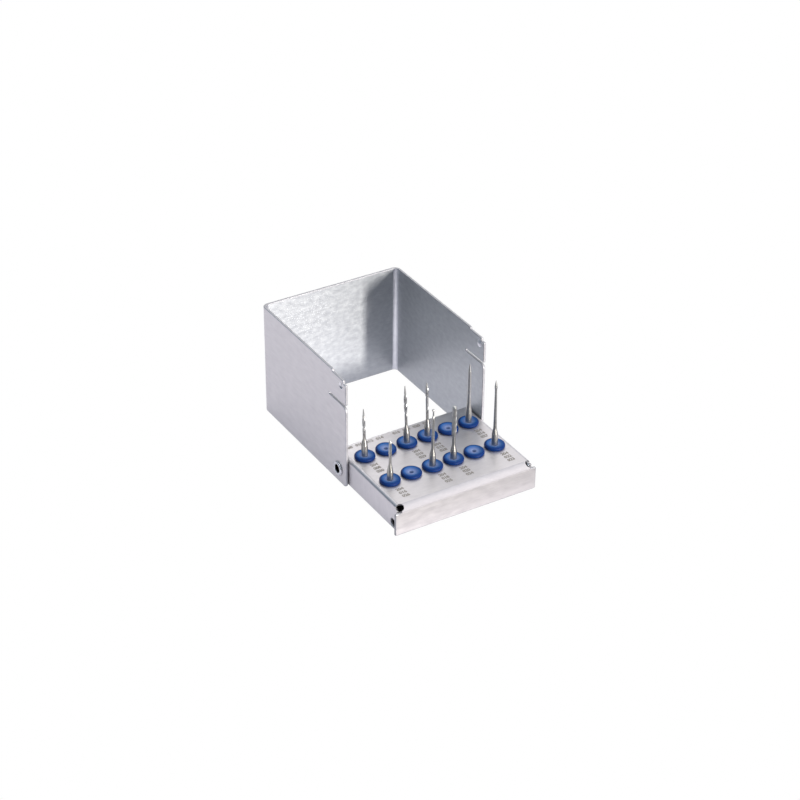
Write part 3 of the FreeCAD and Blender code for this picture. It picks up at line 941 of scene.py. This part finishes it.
@dataclass
class Studio:
    """Back-lit white table under a light tent, with a low lamp in front and a soft box above."""

    floor_size: float = 6.0
    floor_front: str = "#545458"
    floor_back: str = "#C6C4C9"
    floor_glow: float = 0.75
    horizon: Place = (0.26, 0.31, 0.37)
    sky: Place = (1.30, 1.29, 1.29)
    zenith: Place = (1.36, 1.35, 1.35)
    open_side: Place = (0.22, 0.29, 0.36)
    lamp_place: Place = (0.353, -1.413, 0.150)
    lamp_size: Point = (0.07, 0.22)
    lamp_power: float = 28.0
    lamp_colour: Place = (1.045, 1.0, 0.945)
    box_place: Place = (-0.08, -0.06, 0.9)
    box_size: Point = (0.5, 0.5)
    box_power: float = 2.0
    card_x: Point = (-27.0, 27.0)
    card_y: Point = (-47.5, -9.0)

    def build(self) -> None:
        """Sets the table, the surroundings and the lights."""
        self.table()
        self.shade_card()
        self.surroundings()
        self.lamp = self.light("front_lamp", self.lamp_place, self.lamp_size, self.lamp_power, self.lamp_colour)
        self.light("soft_box", self.box_place, self.box_size, self.box_power, (1.0, 1.0, 1.0))
        bpy.context.scene.view_settings.view_transform = "Standard"

    def shade_lamp_with(self, pieces: list[bpy.types.Object]) -> None:
        """Lets only these pieces stand in the front lamp's light, so the thin burs streak no wall.

        Args:
            pieces: The pieces that throw a shadow.
        """
        blockers = bpy.data.collections.new("front_lamp_blockers")
        for piece in pieces:
            blockers.objects.link(piece)
        self.lamp.light_linking.blocker_collection = blockers

    def table(self) -> bpy.types.Object:
        """Makes the table of opal acrylic, lit from below and greyer in front of the block.

        The lens sees it pure white, as in a cut-out picture.

        Returns:
            The table.
        """
        half = self.floor_size / 2
        mesh = bpy.data.meshes.new("table")
        mesh.from_pydata([(-half, -half, 0), (half, -half, 0), (half, half, 0), (-half, half, 0)], [], [(0, 1, 2, 3)])
        table = bpy.data.objects.new("table", mesh)
        bpy.context.scene.collection.objects.link(table)
        material, paper = blank_material("opal_table")
        tree = material.node_tree
        place = add_node(tree, "ShaderNodeTexCoord").outputs["Object"]
        along = add_node(tree, "ShaderNodeSeparateXYZ", links={"Vector": place}).outputs["Y"]
        share = add_node(tree, "ShaderNodeMapRange", {"From Min": -0.06, "From Max": -0.04}, {"Value": along})
        shade = grey_steps(tree, share.outputs["Result"],
                           [(0.0, linear(self.floor_front)), (1.0, linear(self.floor_back))])
        output = paper.outputs["BSDF"].links[0].to_node
        paper.inputs["Roughness"].default_value = 0.9
        paper.inputs["Emission Strength"].default_value = self.floor_glow
        tree.links.new(shade, paper.inputs["Base Color"])
        tree.links.new(shade, paper.inputs["Emission Color"])
        white = add_node(tree, "ShaderNodeEmission", {"Color": (1, 1, 1, 1), "Strength": 1.0})
        ray = add_node(tree, "ShaderNodeLightPath")
        mixed = add_node(tree, "ShaderNodeMixShader",
                         links={0: ray.outputs["Is Camera Ray"], 1: paper.outputs["BSDF"],
                                2: white.outputs["Emission"]})
        tree.links.new(mixed.outputs["Shader"], output.inputs["Surface"])
        mesh.materials.append(material)
        return table

    def shade_card(self) -> bpy.types.Object:
        """Lays a near-black card on the table under the tray: painted shade where the tray shades the glowing table, so
        that its holes look dark.

        Returns:
            The card.
        """
        (x0, x1), (y0, y1) = self.card_x, self.card_y
        mesh = bpy.data.meshes.new("shade_card")
        corners = [(x0, y0), (x1, y0), (x1, y1), (x0, y1)]
        mesh.from_pydata([(x * MM, y * MM, 0.1 * MM) for x, y in corners], [], [(0, 1, 2, 3)])
        card = bpy.data.objects.new("shade_card", mesh)
        bpy.context.scene.collection.objects.link(card)
        material, shader = blank_material("under_tray_painted_shade")
        # Painted shade under the tray.
        shader.inputs["Base Color"].default_value = linear("#1C1D20")
        shader.inputs["Roughness"].default_value = 0.9
        mesh.materials.append(material)
        return card

    def surroundings(self) -> None:
        """Makes the surroundings, a light tent: dim and cool at the horizon and towards its open left side."""
        world = bpy.data.worlds.new("light_tent")
        bpy.context.scene.world = world
        world.use_nodes = True
        tree = world.node_tree
        tree.nodes.clear()
        direction = add_node(tree, "ShaderNodeTexCoord").outputs["Generated"]
        parts = add_node(tree, "ShaderNodeSeparateXYZ", links={"Vector": direction}).outputs
        low, high = (*self.horizon, 1.0), (*self.sky, 1.0)
        top = (*self.zenith, 1.0)
        cloth = grey_steps(tree, parts["Z"], [(0.0, low), (0.12, low), (0.4, high), (0.6, high), (0.75, top)])
        across = add_node(tree, "ShaderNodeMapRange", {"From Min": -0.6, "From Max": 0.3}, {"Value": parts["X"]})
        shade = grey_steps(tree, across.outputs["Result"], [(0.0, (*self.open_side, 1.0)), (1.0, (1, 1, 1, 1))])
        colour = add_node(tree, "ShaderNodeVectorMath", {"operation": "MULTIPLY"}, {0: cloth, 1: shade})
        tent = add_node(tree, "ShaderNodeBackground", {"Strength": 1.0}, {"Color": colour.outputs["Vector"]})
        seen = add_node(tree, "ShaderNodeBackground", {"Color": (1, 1, 1, 1), "Strength": 1.0})
        ray = add_node(tree, "ShaderNodeLightPath")
        mixed = add_node(tree, "ShaderNodeMixShader",
                         links={0: ray.outputs["Is Camera Ray"], 1: tent.outputs["Background"],
                                2: seen.outputs["Background"]})
        add_node(tree, "ShaderNodeOutputWorld", links={"Surface": mixed.outputs["Shader"]})

    def light(self, name: str, place: Place, size: Point, power: float, colour: Place) -> bpy.types.Object:
        """Sets a panel light that faces the block.

        Args:
            name: The light's name.
            place: Where it stands, in metres.
            size: Its width and height, in metres.
            power: Its power, in watts.
            colour: Its colour, as linear light.

        Returns:
            The light.
        """
        data = bpy.data.lights.new(name, "AREA")
        data.shape = "RECTANGLE"
        data.size, data.size_y = size
        data.energy = power
        data.color = colour
        lamp = bpy.data.objects.new(name, data)
        lamp.location = place
        lamp.rotation_mode = "QUATERNION"
        lamp.rotation_quaternion = (-Vector(place)).to_track_quat("-Z", "Y")
        bpy.context.scene.collection.objects.link(lamp)
        return lamp


def main() -> None:
    """Builds each sub-assembly in order and reports it."""
    logging.basicConfig(level=logging.INFO, format="%(name)s: %(message)s")
    PhotographCamera().build()
    studio = Studio()
    studio.build()
    LOG.info("camera and studio set")
    outside = BrushedSteel("brushed_cover_steel")
    # The inside is a rolled, lightly brushed finish, painted darker and bluer: partly real finish, partly painted shade
    # inside the U.
    inside = BrushedSteel("rolled_cover_inside_painted_shade", "#C4C7CA", "#AFB2B7", roughness=0.4, line_length=4.5,
                          line_spacing=0.6, line_depth=0.0015, patch_size=1.8, patch_stretch=1.3, patch_share=0.6)
    shared = {
        Face.CUT: DeburredEdge(),
        Face.CORNER: DeburredEdge("rolled_shear_corner", "#BEBFC3", "#ACADB2", 0.4, 2.5),
        Face.PIT: DeburredEdge("pressed_dimple", "#D8D8DA", "#C4C4C8", 0.15, 1.0),
        # Near-white, smooth inner bends: a painted highlight along the inside of each bend.
        Face.INNER_BEND: DeburredEdge("inner_bend_painted_highlight", "#F2F2F6", "#E4E4EA", 0.3, 2.5)}
    cover = Cover("cover", "cover", "cover_sheet",
                  {Face.OUTSIDE: outside, Face.OUTER_BEND: outside, Face.INSIDE: inside, **shared})
    plate = BrushedSteel("brushed_tray_steel", "#D0CDCF", "#C2BFC2", 0.4, line_depth=0.002)
    stretched = BrushedSteel("stretched_bend_steel", "#D2D0D3", "#C4C2C6", 0.9, anisotropy=0.0, line_length=2.0)
    tray = Tray("tray", "tray", "tray_sheet",
                {Face.OUTSIDE: plate, Face.OUTER_BEND: stretched, Face.INSIDE: plate, **shared})
    grommets = SocketGrommets(MouldedSilicone())
    pieces = [cover.build(), tray.build(), *grommets.build()]
    for piece in pieces:
        LOG.info("%s: %d faces", piece.name, len(piece.data.polygons))
    studio.shade_lamp_with(pieces)
    LOG.info("burs: %d dressed", len(Burs(GroundToolSteel()).build()))
    LOG.info("rivets: %d dressed", len(HingeRivets(TumbledRivetSteel()).build()))
    LOG.info("numbers: %d faces", len(PlateNumbers(LaserMark(), grommets).build().data.polygons))


if __name__ == "__main__":
    main()
